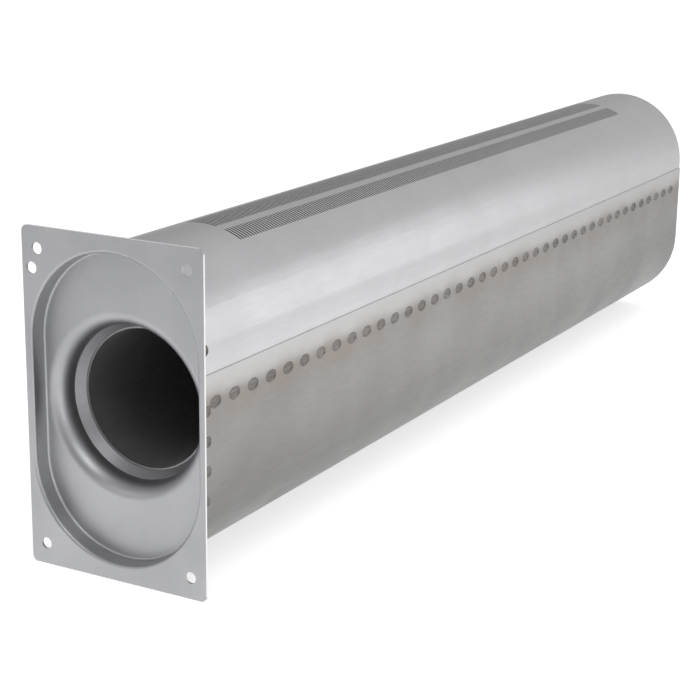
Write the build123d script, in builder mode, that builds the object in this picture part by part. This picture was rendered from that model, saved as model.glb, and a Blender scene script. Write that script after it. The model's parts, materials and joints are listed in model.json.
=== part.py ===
"""Slotted gas burner bar: a pressed flange, a spot-welded obround tube and the mixing tube inside it.

Frame, in millimetres: the origin is the centre of the flange's front face, +X is to the right,
+Y runs into the burner tube, away from the face, and +Z is up through the slotted deck.
"""

from build123d import *
import os
from math import cos, floor, pi, sin

# Flange plate
flange_side_margin = 1.55
flange_end_margin = 5.0
flange_corner_radius = 2.5
flange_sheet = 0.8
bolt_hole_diameter = 4.3
bolt_edge_x = 6.5
bolt_edge_z = 8.0
locating_hole_inset = 7.1
locating_hole_edge_x = 3.95

# Burner tube: two half shells of an obround section, the lower one lapping outside the upper one
tube_length = 486.2
tube_flat = 42.6
deck_outer_radius = 36.2
shell_sheet = 0.4
lap_edge_height = 18.3
lap_width = 20.3
slip_clearance = 0.05

# Dish pressed into the flange, with the bell mouth and its neck
dish_depth = 7.2
lip_radius = 1.2
dish_floor_radius = 0.8
bell_width = 5.4
bell_depth = 7.2
bell_ledge = 0.85
neck_length = 1.2

# Flame slots across the crown of the deck
slot_pitch = 1.75
slot_width = 0.7
first_slot_y = 55.6
last_slot_margin = 51.2
crown_slot_length = 12.9
side_slot_length = 7.7
side_slot_angle = 22.0

# Spot welds
seam_weld_height = 8.0
seam_weld_pitch = 11.9
seam_weld_length = 6.5
seam_weld_width = 3.9
first_seam_weld_y = 8.5
weld_dimple = 0.15
flange_weld_radius = 1.7
flange_weld_pitch = 10.8
flange_weld_setback = 2.7

# End cap at the far end
cap_sheet = 0.6
cap_skirt = 10.0

# Inlet cone and mixing tube
cone_sheet = 0.6
cone_overlap = 0.9
cone_gap = 0.3
cone_taper_length = 3.5
cone_collar_length = 10.0
mixing_tube_step = 2.35
mixing_tube_sheet = 0.6
mixing_tube_end_gap = 86.0

# Supports that carry the mixing tube between the side walls
support_sheet = 0.8
support_ring_width = 4.0
support_tab_depth = 9.0
support_tab_height = 11.0
support_tab_edge = 1.0
front_support_share = 0.32
rear_support_share = 0.7

# Distribution baffle under the slots
baffle_sheet = 0.8
baffle_crest_clearance = 5.6
baffle_shoulder_inset = 4.6
baffle_flange_height = 9.0
baffle_start_margin = 14.0
baffle_end_margin = 6.0
baffle_hole_diameter = 6.0
baffle_hole_pitch = 12.0
baffle_hole_columns = 3
baffle_column_spacing = 18.0
baffle_edge_margin = 10.0

# Worked out from the sizes above
arc_centre = tube_flat / 2
deck_inner_radius = deck_outer_radius - shell_sheet
trough_outer_radius = deck_outer_radius + shell_sheet
tube_start = flange_sheet
tube_end = tube_start + tube_length
lap_bottom = lap_edge_height - lap_width
dish_outer_radius = deck_inner_radius - slip_clearance
dish_inner_radius = dish_outer_radius - flange_sheet
flange_width = 2 * (deck_outer_radius + flange_side_margin)
flange_height = 2 * (arc_centre + deck_outer_radius + flange_end_margin)
bell_start_radius = dish_inner_radius - bell_ledge
bell_end_depth = dish_depth + bell_depth
neck_radius = bell_start_radius - bell_width
neck_end_depth = bell_end_depth + neck_length
mixing_tube_radius = neck_radius - mixing_tube_step
neck_outer_radius = neck_radius + flange_sheet
cone_throat_radius = mixing_tube_radius + slip_clearance
cone_mouth_radius = neck_outer_radius + slip_clearance
cone_start = neck_end_depth - cone_overlap
cone_shoulder = neck_end_depth + cone_gap
cone_throat = cone_shoulder + cone_taper_length
cone_end = cone_throat + cone_collar_length
mixing_tube_start = cone_throat + cone_gap
mixing_tube_end = tube_end - mixing_tube_end_gap
slot_count = floor((tube_length - first_slot_y - last_slot_margin + tube_start) / slot_pitch) + 1
slot_middle = first_slot_y + (slot_count - 1) * slot_pitch / 2
seam_weld_count = floor((tube_length - 2 * first_seam_weld_y) / seam_weld_pitch) + 1
flange_weld_y = tube_start + flange_weld_setback
bolt_x = flange_width / 2 - bolt_edge_x
bolt_z = flange_height / 2 - bolt_edge_z
locating_hole_x = locating_hole_edge_x - flange_width / 2
locating_hole_z = bolt_z - locating_hole_inset
baffle_start = cone_end + baffle_start_margin
baffle_end = tube_end - cap_skirt - baffle_end_margin
baffle_crest_half_width = deck_inner_radius - baffle_shoulder_inset
baffle_crest = mixing_tube_radius + baffle_crest_clearance + baffle_sheet
baffle_hole_rows = floor((baffle_end - baffle_start - 2 * baffle_edge_margin) / baffle_hole_pitch) + 1


def section(y):
    """Give the upright plane across the burner at depth y, its normal towards the front."""
    return Plane.XZ.offset(-y)


def on_dish_wall(edge, depth):
    """Tell whether an edge runs round the inside of the dish wall at a depth behind the face."""
    box = edge.bounding_box()
    level = abs(box.min.Y - depth) < slip_clearance and abs(box.max.Y - depth) < slip_clearance
    reach = max(abs(box.min.X), abs(box.max.X))
    return level and abs(reach - dish_inner_radius) < slip_clearance


def seam_weld_planes(side, distance):
    """Give outward planes along a side seam, at a distance from the middle plane."""
    return [
        Plane(
            origin=(side * distance, first_seam_weld_y + i * seam_weld_pitch, seam_weld_height),
            x_dir=(0, 1, 0),
            z_dir=(side, 0, 0),
        )
        for i in range(seam_weld_count)
    ]


def arch_weld_planes(radius, sign):
    """Give outward planes of the flange welds on the upper (sign 1) or lower (sign -1) round."""
    count = floor(pi * deck_outer_radius / flange_weld_pitch)
    planes = []
    for i in range(count):
        angle = sign * pi * (i + 0.5) / count
        outward = Vector(cos(angle), 0, sin(angle))
        centre = Vector(0, flange_weld_y, sign * arc_centre)
        planes.append(Plane(origin=centre + outward * radius, x_dir=(0, 1, 0), z_dir=outward))
    return planes


def flat_weld_planes(distance):
    """Give outward planes of the flange welds on the two flat sides, below the lap edge."""
    count = floor((arc_centre + lap_edge_height) / flange_weld_pitch)
    return [
        Plane(
            origin=(side * distance, flange_weld_y, (i + 0.5) * flange_weld_pitch - arc_centre),
            x_dir=(0, 1, 0),
            z_dir=(side, 0, 0),
        )
        for side in (-1, 1)
        for i in range(count)
    ]


def write(piece, name):
    """Label a finished piece and write its file."""
    piece.label = name
    export_step(piece, f"parts/{name}.step")


os.makedirs("parts", exist_ok=True)

# Mounting flange: plate, dish wall, dish floor and bell mouth pressed in one sheet
with BuildPart() as mounting_flange:
    with BuildSketch(section(0)):
        RectangleRounded(flange_width, flange_height, flange_corner_radius)
        SlotCenterToCenter(tube_flat, 2 * dish_inner_radius, rotation=90, mode=Mode.SUBTRACT)
        with GridLocations(2 * bolt_x, 2 * bolt_z, 2, 2):
            Circle(bolt_hole_diameter / 2, mode=Mode.SUBTRACT)
        with Locations((locating_hole_x, locating_hole_z)):
            Circle(bolt_hole_diameter / 2, mode=Mode.SUBTRACT)
    extrude(amount=-flange_sheet)
    with BuildSketch(section(0)):
        SlotCenterToCenter(tube_flat, 2 * dish_outer_radius, rotation=90)
        SlotCenterToCenter(tube_flat, 2 * dish_inner_radius, rotation=90, mode=Mode.SUBTRACT)
    extrude(amount=-(dish_depth + flange_sheet))
    with BuildSketch(section(dish_depth)):
        SlotCenterToCenter(tube_flat, 2 * dish_outer_radius, rotation=90)
        Circle(bell_start_radius, mode=Mode.SUBTRACT)
    extrude(amount=-flange_sheet)
    for depth, radius in ((0, lip_radius), (dish_depth, dish_floor_radius)):
        fillet(mounting_flange.edges().filter_by(lambda edge: on_dish_wall(edge, depth)), radius)
    with BuildSketch(Plane.XY):
        with BuildLine():
            for inset in (0, flange_sheet):
                EllipticalCenterArc(
                    (bell_start_radius, bell_end_depth),
                    bell_width - inset,
                    bell_depth - inset,
                    start_angle=180,
                    arc_size=90,
                )
            Polyline(
                (neck_radius, bell_end_depth),
                (neck_radius, neck_end_depth),
                (neck_outer_radius, neck_end_depth),
                (neck_outer_radius, bell_end_depth),
            )
            Line((bell_start_radius, dish_depth), (bell_start_radius, dish_depth + flange_sheet))
        make_face()
    revolve(axis=Axis.Y)
write(mounting_flange.part, "mounting_flange")

# Slotted deck: the upper shell, with a crown band and two side bands of flame slots cut across it
with BuildPart() as slotted_deck:
    with BuildSketch(section(tube_start)):
        with BuildLine():
            for wall in (deck_outer_radius, deck_inner_radius):
                Line((-wall, lap_bottom), (-wall, arc_centre))
                RadiusArc((-wall, arc_centre), (wall, arc_centre), wall)
                Line((wall, arc_centre), (wall, lap_bottom))
            for side in (-1, 1):
                Line((side * deck_outer_radius, lap_bottom), (side * deck_inner_radius, lap_bottom))
        make_face()
    extrude(amount=-tube_length)
    slot_bands = (
        (0, crown_slot_length),
        (side_slot_angle, side_slot_length),
        (-side_slot_angle, side_slot_length),
    )
    for angle, length in slot_bands:
        crown = Plane(origin=(0, slot_middle, arc_centre)).rotated((0, angle, 0))
        with BuildSketch(crown.offset(deck_inner_radius - 2 * shell_sheet)):
            with GridLocations(0, slot_pitch, 1, slot_count):
                Rectangle(length, slot_width)
    extrude(amount=4 * shell_sheet, mode=Mode.SUBTRACT)
    with Locations(*arch_weld_planes(deck_outer_radius, 1), *flat_weld_planes(deck_outer_radius)):
        Hole(flange_weld_radius, 2 * shell_sheet)
write(slotted_deck.part, "slotted_deck")

# Lower trough: the lower shell, lapping outside the deck, with the holes that its welds fill
with BuildPart() as lower_trough:
    with BuildSketch(section(tube_start)):
        with BuildLine():
            for wall in (trough_outer_radius, deck_outer_radius):
                Line((-wall, lap_edge_height), (-wall, -arc_centre))
                RadiusArc((-wall, -arc_centre), (wall, -arc_centre), -wall)
                Line((wall, -arc_centre), (wall, lap_edge_height))
            for side in (-1, 1):
                Line((side * trough_outer_radius, lap_edge_height),
                     (side * deck_outer_radius, lap_edge_height))
        make_face()
    extrude(amount=-tube_length)
    for side in (-1, 1):
        with BuildSketch(*seam_weld_planes(side, trough_outer_radius)):
            SlotOverall(seam_weld_length, seam_weld_width)
        extrude(amount=-shell_sheet, mode=Mode.SUBTRACT)
    with Locations(*arch_weld_planes(trough_outer_radius, -1), *flat_weld_planes(trough_outer_radius)):
        Hole(flange_weld_radius, 2 * shell_sheet)
write(lower_trough.part, "lower_trough")

# Seam welds: one row of oval nuggets on each side, pressed in below the trough's surface
for side, name in ((1, "seam_welds_right"), (-1, "seam_welds_left")):
    with BuildPart() as seam_welds:
        with BuildSketch(*seam_weld_planes(side, deck_outer_radius)):
            SlotOverall(seam_weld_length, seam_weld_width)
        extrude(amount=shell_sheet - weld_dimple)
    write(seam_welds.part, name)

# Flange welds: round nuggets that tie the shells' front ends to the dish wall
with BuildPart() as deck_flange_welds:
    with BuildSketch(*arch_weld_planes(dish_outer_radius + slip_clearance, 1)):
        Circle(flange_weld_radius)
    extrude(amount=shell_sheet - weld_dimple)
write(deck_flange_welds.part, "deck_flange_welds")

with BuildPart() as trough_flange_welds:
    lower_arch = arch_weld_planes(dish_outer_radius + slip_clearance, -1)
    with BuildSketch(*lower_arch, *flat_weld_planes(dish_outer_radius + slip_clearance)):
        Circle(flange_weld_radius)
    extrude(amount=trough_outer_radius - weld_dimple - dish_outer_radius - slip_clearance)
write(trough_flange_welds.part, "trough_flange_welds")

# End cap: a pressed cup set into the far end, its skirt flush with the shells' ends
with BuildPart() as end_cap:
    with BuildSketch(section(tube_end - cap_skirt)):
        SlotCenterToCenter(tube_flat, 2 * dish_outer_radius, rotation=90)
    extrude(amount=-cap_skirt)
    with BuildSketch(section(tube_end - cap_skirt + cap_sheet)):
        SlotCenterToCenter(tube_flat, 2 * (dish_outer_radius - cap_sheet), rotation=90)
    extrude(amount=-cap_skirt, mode=Mode.SUBTRACT)
write(end_cap.part, "end_cap")

# Inlet cone: a collar over the neck, a short taper and a collar over the mixing tube
with BuildPart() as inlet_cone:
    with BuildSketch(Plane.XY):
        with BuildLine():
            Polyline(
                (cone_mouth_radius, cone_start),
                (cone_mouth_radius, cone_shoulder),
                (cone_throat_radius, cone_throat),
                (cone_throat_radius, cone_end),
                (cone_throat_radius + cone_sheet, cone_end),
                (cone_throat_radius + cone_sheet, cone_throat),
                (cone_mouth_radius + cone_sheet, cone_shoulder),
                (cone_mouth_radius + cone_sheet, cone_start),
                close=True,
            )
        make_face()
    revolve(axis=Axis.Y)
write(inlet_cone.part, "inlet_cone")

# Mixing tube: a plain round tube that carries gas and air towards the far end
with BuildPart() as mixing_tube:
    with BuildSketch(section(mixing_tube_start)):
        Circle(mixing_tube_radius)
        Circle(mixing_tube_radius - mixing_tube_sheet, mode=Mode.SUBTRACT)
    extrude(amount=mixing_tube_start - mixing_tube_end)
write(mixing_tube.part, "mixing_tube")

# Tube supports: a ring on the mixing tube, and wings whose bent tabs lie against the deck's sides
for name, share in (("front_tube_support", front_support_share), ("rear_tube_support", rear_support_share)):
    support_y = mixing_tube_start + share * (mixing_tube_end - mixing_tube_start)
    tab_middle = lap_bottom + support_tab_edge + support_tab_height / 2
    with BuildPart() as tube_support:
        with BuildSketch(section(support_y)):
            Circle(mixing_tube_radius + slip_clearance + support_ring_width)
            with Locations((0, tab_middle)):
                Rectangle(2 * deck_inner_radius, support_tab_height)
            Circle(mixing_tube_radius + slip_clearance, mode=Mode.SUBTRACT)
        extrude(amount=-support_sheet)
        with BuildSketch(section(support_y)):
            with Locations(
                (support_sheet / 2 - deck_inner_radius, tab_middle),
                (deck_inner_radius - support_sheet / 2, tab_middle),
            ):
                Rectangle(support_sheet, support_tab_height)
        extrude(amount=-support_tab_depth)
    write(tube_support.part, name)

# Distribution baffle: a perforated channel between the mixing tube and the slots
with BuildPart() as distribution_baffle:
    with BuildSketch(section(baffle_start)):
        with BuildLine():
            Polyline(
                (-deck_inner_radius, arc_centre - baffle_flange_height),
                (-deck_inner_radius, arc_centre),
                (-baffle_crest_half_width, baffle_crest),
                (baffle_crest_half_width, baffle_crest),
                (deck_inner_radius, arc_centre),
                (deck_inner_radius, arc_centre - baffle_flange_height),
            )
            offset(amount=-baffle_sheet, side=Side.RIGHT)
        make_face()
    extrude(amount=baffle_start - baffle_end)
    with BuildSketch(Plane.XY.offset(baffle_crest)):
        with Locations((0, (baffle_start + baffle_end) / 2)):
            with GridLocations(
                baffle_column_spacing, baffle_hole_pitch, baffle_hole_columns, baffle_hole_rows
            ):
                Circle(baffle_hole_diameter / 2)
    extrude(amount=-baffle_sheet, mode=Mode.SUBTRACT)
write(distribution_baffle.part, "distribution_baffle")
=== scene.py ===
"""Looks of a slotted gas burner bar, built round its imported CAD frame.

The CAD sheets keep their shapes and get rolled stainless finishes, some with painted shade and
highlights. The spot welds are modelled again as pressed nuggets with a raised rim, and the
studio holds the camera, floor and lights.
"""

import json
import logging
import math
from dataclasses import dataclass, field

import bpy
from mathutils import Matrix, Vector

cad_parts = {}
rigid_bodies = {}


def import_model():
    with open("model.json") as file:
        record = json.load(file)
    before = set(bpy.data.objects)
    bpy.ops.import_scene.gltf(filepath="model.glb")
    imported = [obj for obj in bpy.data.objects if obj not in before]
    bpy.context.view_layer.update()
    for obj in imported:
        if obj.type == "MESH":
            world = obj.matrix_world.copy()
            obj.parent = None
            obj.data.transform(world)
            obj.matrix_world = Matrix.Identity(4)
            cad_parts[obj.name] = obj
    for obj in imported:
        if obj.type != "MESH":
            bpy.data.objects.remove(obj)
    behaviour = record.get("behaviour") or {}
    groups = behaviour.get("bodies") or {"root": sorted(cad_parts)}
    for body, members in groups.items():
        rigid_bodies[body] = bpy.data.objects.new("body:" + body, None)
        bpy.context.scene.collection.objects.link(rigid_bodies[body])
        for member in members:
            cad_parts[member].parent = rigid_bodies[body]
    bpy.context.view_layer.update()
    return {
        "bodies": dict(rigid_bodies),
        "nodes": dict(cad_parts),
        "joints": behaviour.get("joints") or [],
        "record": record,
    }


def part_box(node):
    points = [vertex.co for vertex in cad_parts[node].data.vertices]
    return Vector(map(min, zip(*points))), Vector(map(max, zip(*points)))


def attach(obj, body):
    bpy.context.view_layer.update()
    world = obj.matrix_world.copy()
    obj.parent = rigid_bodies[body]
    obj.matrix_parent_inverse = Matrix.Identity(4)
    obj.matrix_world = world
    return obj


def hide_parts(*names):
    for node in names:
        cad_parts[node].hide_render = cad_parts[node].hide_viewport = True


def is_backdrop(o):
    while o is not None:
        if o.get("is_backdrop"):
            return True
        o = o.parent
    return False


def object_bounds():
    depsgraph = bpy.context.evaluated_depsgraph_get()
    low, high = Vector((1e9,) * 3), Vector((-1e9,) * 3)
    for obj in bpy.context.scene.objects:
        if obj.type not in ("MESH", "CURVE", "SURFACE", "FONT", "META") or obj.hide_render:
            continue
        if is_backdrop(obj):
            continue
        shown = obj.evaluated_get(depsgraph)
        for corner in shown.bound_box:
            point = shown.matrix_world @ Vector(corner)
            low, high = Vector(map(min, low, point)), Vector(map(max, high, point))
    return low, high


LOG = logging.getLogger("burner")
MM = 0.001
BODY = "root"


class Shade:
    """A material's node tree, with short ways to add and join nodes."""

    def __init__(self, tree: bpy.types.NodeTree) -> None:
        """Keep the tree.

        Args:
            tree: The node tree that the nodes go into.
        """
        self.tree = tree

    def add(self, kind: str, **values: object) -> bpy.types.Node:
        """Add a node.

        Args:
            kind: The node's type name.
            values: Attributes to set on the node.

        Returns:
            The new node.
        """
        node = self.tree.nodes.new(kind)
        for name, value in values.items():
            setattr(node, name, value)
        return node

    def join(self, source: bpy.types.NodeSocket, target: bpy.types.NodeSocket) -> None:
        """Link one socket to another."""
        self.tree.links.new(source, target)

    def feed(self, target: bpy.types.NodeSocket, value: object) -> None:
        """Give a socket a link or a plain value.

        Args:
            target: The input socket.
            value: An output socket, a number or a colour.
        """
        if isinstance(value, bpy.types.NodeSocket):
            self.join(value, target)
        else:
            target.default_value = value

    def math(self, operation: str, *inputs: object) -> bpy.types.NodeSocket:
        """Add a Math node.

        Args:
            operation: The node's operation.
            inputs: A link or a number for each input, in order.

        Returns:
            The node's output.
        """
        node = self.add("ShaderNodeMath", operation=operation)
        for socket, value in zip(node.inputs, inputs):
            self.feed(socket, value)
        return node.outputs[0]

    def remap(self, value: object, low: float, high: float, to_low: float, to_high: float
              ) -> bpy.types.NodeSocket:
        """Add a smooth Map Range node.

        Args:
            value: A link or a number to remap.
            low: The value that maps to to_low.
            high: The value that maps to to_high.
            to_low: The result at low.
            to_high: The result at high.

        Returns:
            The node's result.
        """
        node = self.add("ShaderNodeMapRange", interpolation_type="SMOOTHSTEP")
        limits = {"From Min": low, "From Max": high, "To Min": to_low, "To Max": to_high}
        for name, number in limits.items():
            node.inputs[name].default_value = number
        self.feed(node.inputs["Value"], value)
        return node.outputs["Result"]

    def mix(self, factor: object, first: object, second: object) -> bpy.types.NodeSocket:
        """Add a colour Mix node.

        Args:
            factor: The second colour's share, as a link or a number.
            first: The first colour, as a link or a value.
            second: The second colour, as a link or a value.

        Returns:
            The mixed colour.
        """
        node = self.add("ShaderNodeMix", data_type="RGBA")
        self.feed(node.inputs["Factor"], factor)
        self.feed(node.inputs["A"], first)
        self.feed(node.inputs["B"], second)
        return node.outputs["Result"]

    def noise(self, vector: object, scale: float, detail: float) -> bpy.types.NodeSocket:
        """Add a Noise Texture.

        Args:
            vector: The coordinates, as a link.
            scale: The texture's scale.
            detail: How many finer layers it has.

        Returns:
            The noise value.
        """
        node = self.add("ShaderNodeTexNoise")
        node.inputs["Scale"].default_value = scale
        node.inputs["Detail"].default_value = detail
        self.feed(node.inputs["Vector"], vector)
        return node.outputs["Fac"]


def new_group(name: str, inputs: dict[str, tuple[str, object]], outputs: dict[str, str]
              ) -> tuple[bpy.types.NodeTree, Shade, bpy.types.Node, bpy.types.Node]:
    """Start a shader node group with named sockets.

    Args:
        name: The group's name.
        inputs: Each input's name, socket type and default value.
        outputs: Each output's name and socket type.

    Returns:
        The group, a Shade on it, and its input and output nodes.
    """
    group = bpy.data.node_groups.new(name, "ShaderNodeTree")
    for label, (kind, value) in inputs.items():
        socket = group.interface.new_socket(label, in_out="INPUT", socket_type=kind)
        if value is not None:
            socket.default_value = value
    for label, kind in outputs.items():
        group.interface.new_socket(label, in_out="OUTPUT", socket_type=kind)
    shade = Shade(group)
    return group, shade, shade.add("NodeGroupInput"), shade.add("NodeGroupOutput")


def rolled_grain_group() -> bpy.types.NodeTree:
    """Build the grain of rolled sheet: fine streaks along the tube over broad cloudy patches.

    Returns:
        The node group, with outputs Tone and Height.
    """
    number, vector = "NodeSocketFloat", "NodeSocketVector"
    group, shade, given, result = new_group(
        "rolled_grain",
        {
            "Vector": (vector, None),
            "Streak Scale": (number, 2600.0),
            "Streak Stretch": (number, 0.04),
            "Cloud Scale": (number, 30.0),
            "Cloud Share": (number, 0.5),
        },
        {"Tone": number, "Height": number},
    )
    stretch = shade.add("ShaderNodeCombineXYZ")
    stretch.inputs["X"].default_value = 1.0
    stretch.inputs["Z"].default_value = 1.0
    shade.join(given.outputs["Streak Stretch"], stretch.inputs["Y"])
    drawn = shade.add("ShaderNodeVectorMath", operation="MULTIPLY")
    shade.join(given.outputs["Vector"], drawn.inputs[0])
    shade.join(stretch.outputs[0], drawn.inputs[1])
    streak = shade.add("ShaderNodeTexNoise")
    streak.inputs["Detail"].default_value = 3.0
    shade.join(drawn.outputs[0], streak.inputs["Vector"])
    shade.join(given.outputs["Streak Scale"], streak.inputs["Scale"])
    cloud = shade.add("ShaderNodeTexNoise")
    cloud.inputs["Detail"].default_value = 4.0
    shade.join(given.outputs["Vector"], cloud.inputs["Vector"])
    shade.join(given.outputs["Cloud Scale"], cloud.inputs["Scale"])
    blend = shade.add("ShaderNodeMix", data_type="FLOAT")
    shade.join(given.outputs["Cloud Share"], blend.inputs["Factor"])
    shade.join(streak.outputs["Fac"], blend.inputs["A"])
    shade.join(cloud.outputs["Fac"], blend.inputs["B"])
    shade.join(shade.remap(blend.outputs["Result"], 0.3, 0.7, 0.0, 1.0), result.inputs["Tone"])
    shade.join(streak.outputs["Fac"], result.inputs["Height"])
    return group


def heat_band_group() -> bpy.types.NodeTree:
    """Build the stain that welding leaves: a band round a height, broken up by cloudy noise.

    Returns:
        The node group, with the output Mask.
    """
    number, vector = "NodeSocketFloat", "NodeSocketVector"
    group, shade, given, result = new_group(
        "heat_band",
        {
            "Vector": (vector, None),
            "Height": (number, 0.008),
            "Half Width": (number, 0.01),
            "Strength": (number, 0.5),
        },
        {"Mask": number},
    )
    parts = shade.add("ShaderNodeSeparateXYZ")
    shade.join(given.outputs["Vector"], parts.inputs[0])
    distance = shade.math(
        "ABSOLUTE", shade.math("SUBTRACT", parts.outputs["Z"], given.outputs["Height"])
    )
    share = shade.math("DIVIDE", distance, given.outputs["Half Width"])
    near = shade.remap(share, 0.15, 1.0, 1.0, 0.0)
    patches = shade.remap(shade.noise(given.outputs["Vector"], 55.0, 4.0), 0.35, 0.65, 0.25, 1.0)
    mask = shade.math("MULTIPLY", shade.math("MULTIPLY", near, patches), given.outputs["Strength"])
    shade.join(mask, result.inputs["Mask"])
    return group


def painted_rim_highlight_group() -> bpy.types.NodeTree:
    """Build a mask of a plate's sheared edges, where a highlight is painted on its rim.

    Returns:
        The node group, with the output Mask.
    """
    number, vector = "NodeSocketFloat", "NodeSocketVector"
    group, shade, given, result = new_group(
        "painted_rim_highlight",
        {"Vector": (vector, None), "Half Width": (number, 0.0377), "Half Height": (number, 0.0624)},
        {"Mask": number},
    )
    parts = shade.add("ShaderNodeSeparateXYZ")
    shade.join(given.outputs["Vector"], parts.inputs[0])
    across = shade.math(
        "GREATER_THAN", shade.math("ABSOLUTE", parts.outputs["X"]), given.outputs["Half Width"]
    )
    upright = shade.math(
        "GREATER_THAN", shade.math("ABSOLUTE", parts.outputs["Z"]), given.outputs["Half Height"]
    )
    shade.join(shade.math("MAXIMUM", across, upright), result.inputs["Mask"])
    return group


def painted_inner_shade_group() -> bpy.types.NodeTree:
    """Build a mask of the tube's inner side and slot walls, where shade is painted.

    Returns:
        The node group, with the output Mask.
    """
    number, vector = "NodeSocketFloat", "NodeSocketVector"
    group, shade, given, result = new_group(
        "painted_inner_shade",
        {"Vector": (vector, None), "Flat Half": (number, 0.0213), "Radius": (number, 0.036)},
        {"Mask": number},
    )
    parts = shade.add("ShaderNodeSeparateXYZ")
    shade.join(given.outputs["Vector"], parts.inputs[0])
    above = shade.math(
        "MAXIMUM", shade.math("SUBTRACT", parts.outputs["Z"], given.outputs["Flat Half"]), 0.0
    )
    squares = shade.math(
        "ADD", shade.math("POWER", parts.outputs["X"], 2.0), shade.math("POWER", above, 2.0)
    )
    reach = shade.math("SQRT", squares)
    shade.join(shade.math("LESS_THAN", reach, given.outputs["Radius"]), result.inputs["Mask"])
    return group


@dataclass(frozen=True)
class SheetFinish:
    """A rolled stainless finish, with optional painted shade and highlights.

    Attributes:
        name: The material's name.
        pale: Colour of the sheet's lighter tone.
        dark: Colour of its darker tone.
        smooth: Roughness where the tone is light.
        rough: Roughness where the tone is dark.
        bump: Height of the rolling streaks, in millimetres.
        cloud_share: How far broad patches outweigh the streaks, 0 to 1.
        heat_strength: How strongly the seam's heat stain shows, 0 to 1.
        heat_height: The seam's height, in millimetres.
        heat_width: Half the stain's width, in millimetres.
        heat_colour: Colour of the stain.
        painted_highlight_gain: How much of the painted highlight colour shows above the seam, 0 to
            1.
        painted_highlight_low: Height where the painted highlight starts, in millimetres.
        painted_highlight_high: Height where it is full, in millimetres.
        painted_rim_highlight: How much of the painted highlight colour the plate's rim shows, 0 to
            1.
        painted_foot_shade: How much painted shade darkens the sheet towards its underside, 0 to 1.
        foot_low: Height below which that shade is full, in millimetres.
        foot_high: Height where it starts, in millimetres.
        painted_inner_shade_radius: Reach of the painted shade from the section's spine, in
            millimetres.
    """

    name: str
    pale: tuple[float, float, float, float]
    dark: tuple[float, float, float, float]
    smooth: float
    rough: float
    bump: float = 0.004
    cloud_share: float = 0.5
    heat_strength: float = 0.0
    heat_height: float = 8.0
    heat_width: float = 16.0
    heat_colour: tuple[float, float, float, float] = (0.27, 0.222, 0.19, 1.0)
    painted_highlight_gain: float = 0.0
    painted_highlight_low: float = 6.0
    painted_highlight_high: float = 12.0
    painted_rim_highlight: float = 0.0
    painted_foot_shade: float = 0.0
    foot_low: float = -45.0
    foot_high: float = -5.0
    painted_inner_shade_radius: float = 0.0

    def build(self, grain: bpy.types.NodeTree, heat: bpy.types.NodeTree, edge: bpy.types.NodeTree,
              inner_shade_tree: bpy.types.NodeTree) -> bpy.types.Material:
        """Make the material.

        Args:
            grain: The rolled_grain node group.
            heat: The heat_band node group.
            edge: The painted_rim_highlight node group, for the painted highlight on the plate's
                rim.
            inner_shade_tree: The painted_inner_shade node group, for the painted shade inside the
                tube.

        Returns:
            The new material.
        """
        material = bpy.data.materials.new(self.name)
        material.use_nodes = True
        shade = Shade(material.node_tree)
        surface = material.node_tree.nodes["Principled BSDF"]
        surface.inputs["Metallic"].default_value = 1.0
        place = shade.add("ShaderNodeTexCoord").outputs["Object"]
        rolled = shade.add("ShaderNodeGroup", node_tree=grain)
        shade.join(place, rolled.inputs["Vector"])
        rolled.inputs["Cloud Share"].default_value = self.cloud_share
        tone = rolled.outputs["Tone"]
        colour = shade.mix(tone, self.dark, self.pale)
        parts = shade.add("ShaderNodeSeparateXYZ")
        shade.join(place, parts.inputs[0])
        # Painted shade: the sheet darkens towards its underside.
        if self.painted_foot_shade > 0:
            below = shade.remap(
                parts.outputs["Z"], self.foot_low * MM, self.foot_high * MM, self.painted_foot_shade, 0.0
            )
            colour = shade.mix(below, colour, PAINTED_FOOT_SHADE_COLOUR)
        # Painted highlight: the sheet turns paler above the seam.
        if self.painted_highlight_gain > 0:
            above = shade.remap(
                parts.outputs["Z"], self.painted_highlight_low * MM, self.painted_highlight_high * MM, 0.0, self.painted_highlight_gain
            )
            colour = shade.mix(above, colour, PAINTED_HIGHLIGHT_COLOUR)
        if self.heat_strength > 0:
            band = shade.add("ShaderNodeGroup", node_tree=heat)
            shade.join(place, band.inputs["Vector"])
            band.inputs["Height"].default_value = self.heat_height * MM
            band.inputs["Half Width"].default_value = self.heat_width * MM
            band.inputs["Strength"].default_value = self.heat_strength
            colour = shade.mix(band.outputs["Mask"], colour, self.heat_colour)
        # Painted highlight along the plate's rim.
        if self.painted_rim_highlight > 0:
            rim = shade.add("ShaderNodeGroup", node_tree=edge)
            shade.join(place, rim.inputs["Vector"])
            share = shade.math("MULTIPLY", rim.outputs["Mask"], self.painted_rim_highlight)
            colour = shade.mix(share, colour, PAINTED_RIM_HIGHLIGHT_COLOUR)
        # Painted shade: the tube's inner side and slot walls turn nearly black.
        if self.painted_inner_shade_radius > 0:
            inside = shade.add("ShaderNodeGroup", node_tree=inner_shade_tree)
            shade.join(place, inside.inputs["Vector"])
            inside.inputs["Radius"].default_value = self.painted_inner_shade_radius * MM
            colour = shade.mix(inside.outputs["Mask"], colour, PAINTED_INNER_SHADE_COLOUR)
        shade.join(colour, surface.inputs["Base Color"])
        roughness = shade.remap(tone, 0.0, 1.0, self.rough, self.smooth)
        shade.join(roughness, surface.inputs["Roughness"])
        bump = shade.add("ShaderNodeBump")
        bump.inputs["Distance"].default_value = self.bump * MM
        shade.join(rolled.outputs["Height"], bump.inputs["Height"])
        shade.join(bump.outputs["Normal"], surface.inputs["Normal"])
        return material


# Painted highlight colour above the trough's seam.
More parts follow.
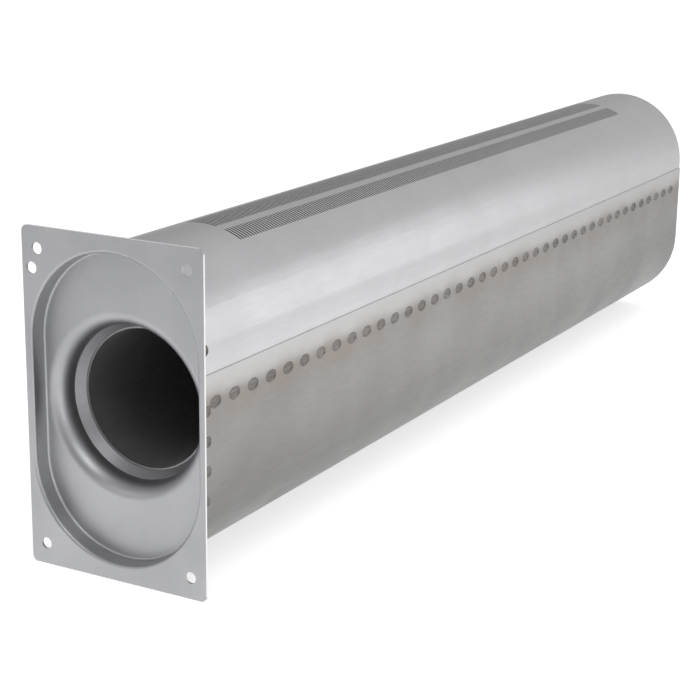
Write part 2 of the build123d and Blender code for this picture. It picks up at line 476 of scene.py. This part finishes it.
PAINTED_HIGHLIGHT_COLOUR = (0.50, 0.497, 0.495, 1.0)
# Painted highlight colour on the plate's rim.
PAINTED_RIM_HIGHLIGHT_COLOUR = (0.85, 0.85, 0.86, 1.0)
# Painted shade colour towards the trough's underside.
PAINTED_FOOT_SHADE_COLOUR = (0.12, 0.118, 0.116, 1.0)
# Painted shade colour inside the tube.
PAINTED_INNER_SHADE_COLOUR = (0.05, 0.048, 0.046, 1.0)
FLANGE_SHEET = SheetFinish(
    "flange_sheet", (0.50, 0.503, 0.52, 1.0), (0.45, 0.453, 0.468, 1.0), 0.42, 0.50,
    cloud_share=0.6,
    # Painted highlight on the plate's rim.
    painted_rim_highlight=1.0,
)
DECK_SHEET = SheetFinish(
    "deck_sheet", (0.59, 0.59, 0.602, 1.0), (0.535, 0.535, 0.546, 1.0), 0.28, 0.34,
    # Painted shade inside the tube and on the slot walls.
    painted_inner_shade_radius=36.08,
)
TROUGH_SHEET = SheetFinish(
    "trough_sheet", (0.30, 0.296, 0.291, 1.0), (0.26, 0.256, 0.251, 1.0), 0.30, 0.38,
    heat_strength=0.6, heat_height=6.0, heat_width=11.0,
    # Painted highlight above the seam.
    painted_highlight_gain=1.0, painted_highlight_low=7.0, painted_highlight_high=13.0,
    # Painted shade towards the underside.
    painted_foot_shade=0.68,
)
CAP_SHEET = SheetFinish(
    "cap_sheet", (0.36, 0.358, 0.355, 1.0), (0.31, 0.308, 0.305, 1.0), 0.32, 0.40
)
CONE_SHEET = SheetFinish(
    "cone_sheet", (0.36, 0.36, 0.37, 1.0), (0.31, 0.31, 0.32, 1.0), 0.45, 0.55
)
# Painted shade: the baffle is near-black so that the slots read dark.
PAINTED_SHADE_BAFFLE_SHEET = SheetFinish(
    "baffle_painted_shade", (0.085, 0.082, 0.08, 1.0), (0.06, 0.058, 0.056, 1.0), 0.50, 0.60
)
WELD_METAL = SheetFinish(
    "weld_metal", (0.22, 0.205, 0.195, 1.0), (0.11, 0.10, 0.095, 1.0), 0.22, 0.36, bump=0.01
)
INNER_SHEET = SheetFinish(
    "inner_sheet", (0.46, 0.46, 0.47, 1.0), (0.38, 0.38, 0.39, 1.0), 0.55, 0.65
)


@dataclass
class SheetPieces:
    """The CAD sheets, which keep their shapes and get their finishes.

    Attributes:
        finishes: The material of each node.
    """

    frame: dict
    finishes: dict[str, bpy.types.Material]

    def dress(self) -> None:
        """Give each node its one material."""
        for node, material in self.finishes.items():
            for slot in self.frame["nodes"][node].material_slots:
                slot.material = material
            LOG.info("%s gets %s", node, material.name)


@dataclass
class NuggetRow:
    """Pressed spot-weld nuggets, each an oval with a raised rim round a sunken face.

    Attributes:
        name: The new piece's name.
        node: The CAD node that the piece stands for.
        length: The oval's size along the tube, in millimetres.
        width: The oval's size across it, in millimetres.
        rim: Width of the raised rim, in millimetres.
        proud: Height of the rim above the sheet, in millimetres.
        sink: Depth of the face below the rim, in millimetres.
        spots: Centre on the sheet's outer surface and outward direction of each weld, in metres.
        facets: Corners round one oval.
        depth: Thickness of the nugget below the sheet's outer surface, in millimetres.
        sway: Greatest shift of a nugget along the row, in millimetres.
        sway_step: Phase between one nugget's shift and the next, in radians.
    """

    name: str
    node: str
    length: float
    width: float
    rim: float
    proud: float
    sink: float
    spots: list[tuple[Vector, Vector]] = field(default_factory=list)
    facets: int = 24
    depth: float = 0.38
    sway: float = 0.10
    sway_step: float = 5.1

    def model_one(self) -> bpy.types.Object:
        """Model one nugget about the origin, facing +Z, its long side along +Y.

        Returns:
            The nugget's object.
        """
        bpy.ops.object.select_all(action="DESELECT")
        bpy.ops.mesh.primitive_cylinder_add(
            vertices=self.facets, radius=0.5, depth=self.depth * MM,
            location=(0, 0, -self.depth / 2 * MM), end_fill_type="NGON",
        )
        nugget = bpy.context.object
        nugget.scale = ((self.width + self.rim) * MM, (self.length + self.rim) * MM, 1.0)
        bpy.ops.object.transform_apply(location=True, rotation=True, scale=True)
        bpy.ops.object.mode_set(mode="EDIT")
        bpy.ops.mesh.select_mode(type="FACE")
        bpy.ops.mesh.select_all(action="DESELECT")
        bpy.ops.object.mode_set(mode="OBJECT")
        for face in nugget.data.polygons:
            face.select = face.normal.z > 0.9
        bpy.ops.object.mode_set(mode="EDIT")
        steps = (
            (0.30 * self.rim, self.proud),
            (0.20 * self.rim, 0.0),
            (0.40 * self.rim, -0.72 * self.sink),
            (0.50 * self.rim, -0.28 * self.sink),
            (0.80 * self.rim, 0.08 * self.sink),
        )
        for inward, lift in steps:
            bpy.ops.mesh.inset(thickness=inward * MM, depth=lift * MM, use_even_offset=True)
        bpy.ops.mesh.poke()
        bpy.ops.object.mode_set(mode="OBJECT")
        for face in nugget.data.polygons:
            face.use_smooth = abs(face.normal.z) > 0.2
        return nugget

    def build(self, material: bpy.types.Material) -> bpy.types.Object:
        """Set a copy of the nugget on each spot and join them.

        Args:
            material: The finish of the nuggets.

        Returns:
            The finished piece, which stands for its CAD node.
        """
        first = self.model_one()
        copies = []
        for number, (centre, outward) in enumerate(self.spots):
            copy = first.copy()
            copy.data = first.data.copy()
            bpy.context.collection.objects.link(copy)
            along = Vector((0, 1, 0))
            across = along.cross(outward)
            turn = Matrix((across, along, outward)).transposed().to_4x4()
            shift = self.sway * math.sin(self.sway_step * number) * MM
            copy.matrix_world = Matrix.Translation(centre + along * shift) @ turn
            copies.append(copy)
        bpy.data.objects.remove(first)
        bpy.ops.object.select_all(action="DESELECT")
        for copy in copies:
            copy.select_set(True)
        bpy.context.view_layer.objects.active = copies[0]
        bpy.ops.object.join()
        piece = bpy.context.object
        bpy.ops.object.transform_apply(location=True, rotation=True, scale=True)
        piece.name = self.name
        piece.data.materials.clear()
        piece.data.materials.append(material)
        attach(piece, BODY)
        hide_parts(self.node)
        LOG.info("%s: %d nuggets", self.name, len(copies))
        return piece


def loose_centres(piece: bpy.types.Object) -> list[Vector]:
    """Find the middle of each separate solid of a CAD node.

    Args:
        piece: The node's object.

    Returns:
        The solids' centres, in metres.
    """
    mesh = piece.data
    owner = list(range(len(mesh.vertices)))
    merged: dict[tuple[int, int, int], int] = {}

    def root(index: int) -> int:
        """Follow an index to the first of its group."""
        while owner[index] != index:
            owner[index] = owner[owner[index]]
            index = owner[index]
        return index

    for vertex in mesh.vertices:
        key = tuple(round(value * 1e6) for value in vertex.co)
        owner[root(vertex.index)] = root(merged.setdefault(key, vertex.index))
    for edge in mesh.edges:
        owner[root(edge.vertices[0])] = root(edge.vertices[1])
    groups: dict[int, list[Vector]] = {}
    for vertex in mesh.vertices:
        groups.setdefault(root(vertex.index), []).append(vertex.co)
    return [
        Vector([(min(values) + max(values)) / 2 for values in zip(*corners)])
        for corners in groups.values()
    ]


@dataclass
class SpotWelds:
    """All the burner's spot welds, set out from the CAD nuggets they stand for.

    Attributes:
        material: The finish of the weld metal.
        flat_half: Half the flat height of the tube's section, in metres.
        sheet: Thickness of the shells, in millimetres.
        seam_length: A seam nugget's size along the tube, in millimetres.
        seam_width: Its size across, in millimetres.
        round_size: Diameter of a nugget round the front end, in millimetres.
        rim: Width of every nugget's raised rim, in millimetres.
        proud: Height of the rim, in millimetres.
        sink: Depth of the face below the rim, in millimetres.
    """

    frame: dict
    material: bpy.types.Material
    flat_half: float
    sheet: float = 0.4
    seam_length: float = 6.5
    seam_width: float = 3.9
    round_size: float = 3.4
    rim: float = 0.7
    proud: float = 0.08
    sink: float = 0.38

    def outward(self, centre: Vector) -> Vector:
        """Give the tube's outward direction at a point of its obround wall."""
        middle = max(-self.flat_half, min(self.flat_half, centre.z))
        return Vector((centre.x, 0, centre.z - middle)).normalized()

    def on_sheet(self, centre: Vector, radius: float) -> Vector:
        """Move a point along the wall's normal to a distance from the section's spine.

        Args:
            centre: The point, in metres.
            radius: The distance from the spine, in metres.

        Returns:
            The moved point.
        """
        middle = max(-self.flat_half, min(self.flat_half, centre.z))
        spine = Vector((0, centre.y, middle))
        return spine + self.outward(centre) * radius

    def build(self) -> None:
        """Build the two seam rows and the two flange rows."""
        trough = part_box("lower_trough")[1][0]
        deck = trough - self.sheet * MM
        oval, disc = (self.seam_length, self.seam_width), (self.round_size, self.round_size)
        rows = (
            ("seam_nuggets_right", "seam_welds_right", oval, trough),
            ("seam_nuggets_left", "seam_welds_left", oval, trough),
            ("deck_flange_nuggets", "deck_flange_welds", disc, deck),
            ("trough_flange_nuggets", "trough_flange_welds", disc, trough),
        )
        for name, node, size, radius in rows:
            centres = loose_centres(self.frame["nodes"][node])
            spots = [(self.on_sheet(centre, radius), self.outward(centre)) for centre in centres]
            row = NuggetRow(name, node, *size, self.rim, self.proud, self.sink, spots)
            row.build(self.material)


@dataclass(frozen=True)
class Lamp:
    """A soft rectangular lamp.

    Attributes:
        name: The lamp's name.
        place: Its position, in metres.
        aim: The point it faces, in metres.
        size: Its width and height, in metres.
        power: Its power, in watts.
    """

    name: str
    place: tuple[float, float, float]
    aim: tuple[float, float, float]
    size: tuple[float, float]
    power: float

    def hang(self) -> None:
        """Add the lamp to the scene."""
        data = bpy.data.lights.new(self.name, "AREA")
        data.shape = "RECTANGLE"
        data.size, data.size_y = self.size
        data.energy = self.power
        lamp = bpy.data.objects.new(self.name, data)
        bpy.context.collection.objects.link(lamp)
        lamp.location = Vector(self.place)
        facing = Vector(self.aim) - Vector(self.place)
        lamp.rotation_euler = facing.to_track_quat("-Z", "Y").to_euler()


LAMPS = (
    Lamp("shoulder", (0.85, 1.0, 0.28), (0.04, 0.05, 0.03), (0.95, 0.62), 1.3),
    Lamp("key", (0.5, -0.6, 1.1), (0.0, 0.1, 0.0), (0.6, 0.6), 2.5),
    Lamp("side", (0.9, -0.45, 0.05), (-0.03, 0.0, 0.0), (0.4, 0.4), 0.9),
    Lamp("fill", (-0.7, -0.9, 0.5), (0.0, 0.0, 0.0), (0.8, 0.8), 1.5),
)


@dataclass
class Studio:
    """Camera, floor, backdrop light and lamps.

    Attributes:
        target: The point that the camera's distance is measured to, in metres.
        azimuth: The camera's turn from the front towards the right, in degrees.
        elevation: The camera's rise above the level, in degrees.
        roll: The camera's tilt about its own axis, in degrees.
        distance: From the target to the camera, in metres.
        lens: Focal length on the 36 mm sensor.
        floor_size: Length of the floor's side, in metres.
        floor_gap: From the part's lowest point down to the floor, in metres.
        floor_glow: Strength of the floor's own light.
    """

    target: Vector = field(default_factory=lambda: Vector((0.0286, 0.11675, -0.0011)))
    azimuth: float = 28.82
    elevation: float = 15.78
    roll: float = 0.817
    distance: float = 0.6926
    lens: float = 90.4
    floor_size: float = 12.0
    floor_gap: float = 0.0005
    floor_glow: float = 0.62

    def place_camera(self) -> None:
        """Set the camera at its azimuth, elevation and roll."""
        azimuth, elevation = math.radians(self.azimuth), math.radians(self.elevation)
        back = Vector((
            math.sin(azimuth) * math.cos(elevation),
            -math.cos(azimuth) * math.cos(elevation),
            math.sin(elevation),
        ))
        right = (-back).cross(Vector((0, 0, 1))).normalized()
        up = right.cross(-back)
        roll = math.radians(self.roll)
        tilted_right = right * math.cos(roll) + up * math.sin(roll)
        tilted_up = up * math.cos(roll) - right * math.sin(roll)
        data = bpy.data.cameras.new("camera")
        data.lens = self.lens
        data.sensor_width = 36.0
        data.clip_start = 0.01
        camera = bpy.data.objects.new("camera", data)
        bpy.context.collection.objects.link(camera)
        turn = Matrix((tilted_right, tilted_up, back)).transposed().to_4x4()
        camera.matrix_world = Matrix.Translation(self.target + back * self.distance) @ turn
        bpy.context.scene.camera = camera

    def lay_floor(self) -> None:
        """Lay the pale floor just under the flange's lower edge."""
        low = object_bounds()[0][2]
        bpy.ops.object.select_all(action="DESELECT")
        place = (0, 0, low - self.floor_gap)
        bpy.ops.mesh.primitive_plane_add(size=self.floor_size, location=place)
        floor = bpy.context.object
        floor.name = "floor"
        bpy.ops.object.transform_apply(location=True, rotation=True, scale=True)
        material = bpy.data.materials.new("floor_white")
        material.use_nodes = True
        shade = Shade(material.node_tree)
        surface = material.node_tree.nodes["Principled BSDF"]
        surface.inputs["Base Color"].default_value = (0.82, 0.82, 0.82, 1.0)
        surface.inputs["Roughness"].default_value = 0.9
        surface.inputs["Emission Color"].default_value = (1.0, 1.0, 1.0, 1.0)
        rays = shade.add("ShaderNodeLightPath")
        spot = shade.add("ShaderNodeSeparateXYZ")
        shade.join(shade.add("ShaderNodeTexCoord").outputs["Object"], spot.inputs[0])
        fading = shade.math(
            "MULTIPLY",
            shade.remap(spot.outputs["Y"], 0.3, 0.9, 1.0, 0.46),
            shade.remap(spot.outputs["Y"], -0.5, 0.05, 0.30, 1.0),
        )
        mirrored = shade.math("MULTIPLY", rays.outputs["Is Glossy Ray"], fading)
        seen = shade.math("MAXIMUM", rays.outputs["Is Camera Ray"], mirrored)
        glow = shade.math("MULTIPLY", seen, self.floor_glow)
        shade.join(glow, surface.inputs["Emission Strength"])
        floor.data.materials.append(material)
        floor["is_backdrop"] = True

    def light_world(self) -> None:
        """Light the room: plain white to the camera, a slope of greys to everything else."""
        world = bpy.data.worlds.new("room")
        bpy.context.scene.world = world
        world.use_nodes = True
        shade = Shade(world.node_tree)
        background = world.node_tree.nodes["Background"]
        direction = shade.add("ShaderNodeTexCoord").outputs["Generated"]
        parts = shade.add("ShaderNodeSeparateXYZ")
        shade.join(direction, parts.inputs[0])
        side = shade.math(
            "MULTIPLY",
            shade.remap(parts.outputs["X"], -1.0, 1.0, 0.55, 0.95),
            shade.remap(parts.outputs["Z"], 0.25, 0.62, 0.74, 1.0),
        )
        side = shade.math("MULTIPLY", side, shade.remap(parts.outputs["Y"], -0.7, 0.1, 0.5, 1.0))
        rays = shade.add("ShaderNodeLightPath")
        grey = shade.add("ShaderNodeCombineXYZ")
        for name in ("X", "Y", "Z"):
            shade.join(side, grey.inputs[name])
        colour = shade.mix(rays.outputs["Is Camera Ray"], grey.outputs[0], (1.0, 1.0, 1.0, 1.0))
        shade.join(colour, background.inputs["Color"])
        background.inputs["Strength"].default_value = 1.0

    def build(self) -> None:
        """Set up the whole studio."""
        bpy.context.scene.view_settings.view_transform = "Standard"
        self.place_camera()
        self.lay_floor()
        self.light_world()
        for lamp in LAMPS:
            lamp.hang()
        LOG.info("studio is set")


def main() -> None:
    """Build the looks."""
    logging.basicConfig(level=logging.INFO, format="%(name)s: %(message)s")
    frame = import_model()
    Studio().build()
    groups = (rolled_grain_group(), heat_band_group(), painted_rim_highlight_group(), painted_inner_shade_group())
    flange, deck, trough, cap, cone, weld, inner, baffle = (
        finish.build(*groups)
        for finish in (FLANGE_SHEET, DECK_SHEET, TROUGH_SHEET, CAP_SHEET, CONE_SHEET, WELD_METAL,
                       INNER_SHEET, PAINTED_SHADE_BAFFLE_SHEET)
    )
    finishes = {
        "mounting_flange": flange,
        "slotted_deck": deck,
        "lower_trough": trough,
        "end_cap": cap,
        "inlet_cone": cone,
        "mixing_tube": inner,
        "front_tube_support": inner,
        "rear_tube_support": inner,
        "distribution_baffle": baffle,
    }
    SheetPieces(frame, finishes).dress()
    low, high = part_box("slotted_deck")
    flat_half = high[2] - high[0]
    SpotWelds(frame, weld, flat_half).build()


if __name__ == "__main__":
    main()
